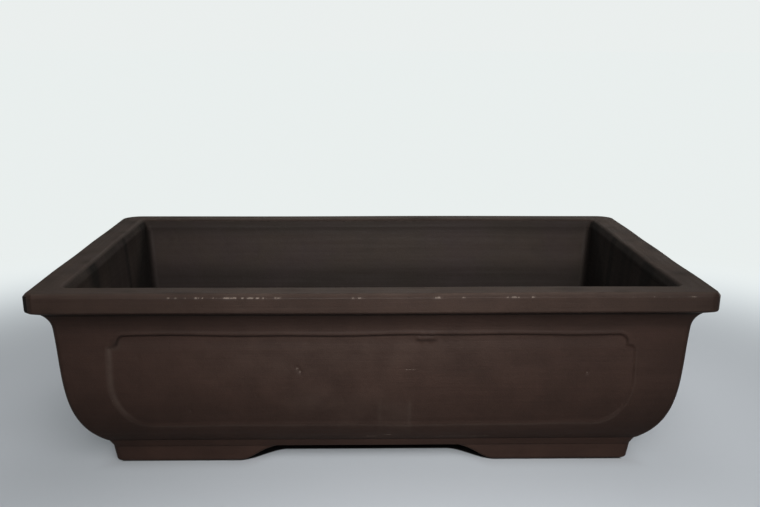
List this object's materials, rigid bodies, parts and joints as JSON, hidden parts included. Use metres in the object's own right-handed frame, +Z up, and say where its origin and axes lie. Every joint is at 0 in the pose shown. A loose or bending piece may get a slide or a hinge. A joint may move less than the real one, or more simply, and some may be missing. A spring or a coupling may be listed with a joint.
{
  "type": "bonsai pot",
  "caption": "Rectangular unglazed stoneware bonsai pot with a flat projecting rim, sunk wall panels, a curved belly and cut-out corner feet.",
  "frame": {"origin": "on the ground under the middle of the pot", "axes": "+X along the length, +Y to the back, +Z up"},
  "size_m": [0.46, 0.32, 0.1335],
  "materials": {
    "fired_clay": "matt unglazed",
    "rim_clay": "matt unglazed, wiped smooth"
  },
  "bodies": {
    "root": {"floor_slab": "fired_clay", "front_wall": "fired_clay", "back_wall": "fired_clay", "left_wall": "fired_clay", "right_wall": "fired_clay", "front_rim_strip": "rim_clay", "back_rim_strip": "rim_clay", "left_rim_strip": "rim_clay", "right_rim_strip": "rim_clay", "front_base_band": "fired_clay", "back_base_band": "fired_clay", "left_base_band": "fired_clay", "right_base_band": "fired_clay", "front_left_foot": "fired_clay", "front_right_foot": "fired_clay", "back_left_foot": "fired_clay", "back_right_foot": "fired_clay", "front_floor_seam": "fired_clay", "back_floor_seam": "fired_clay", "left_floor_seam": "fired_clay", "right_floor_seam": "fired_clay", "front_left_corner_seam": "fired_clay", "front_right_corner_seam": "fired_clay", "back_left_corner_seam": "fired_clay", "back_right_corner_seam": "fired_clay"}
  },
  "joints": []
}
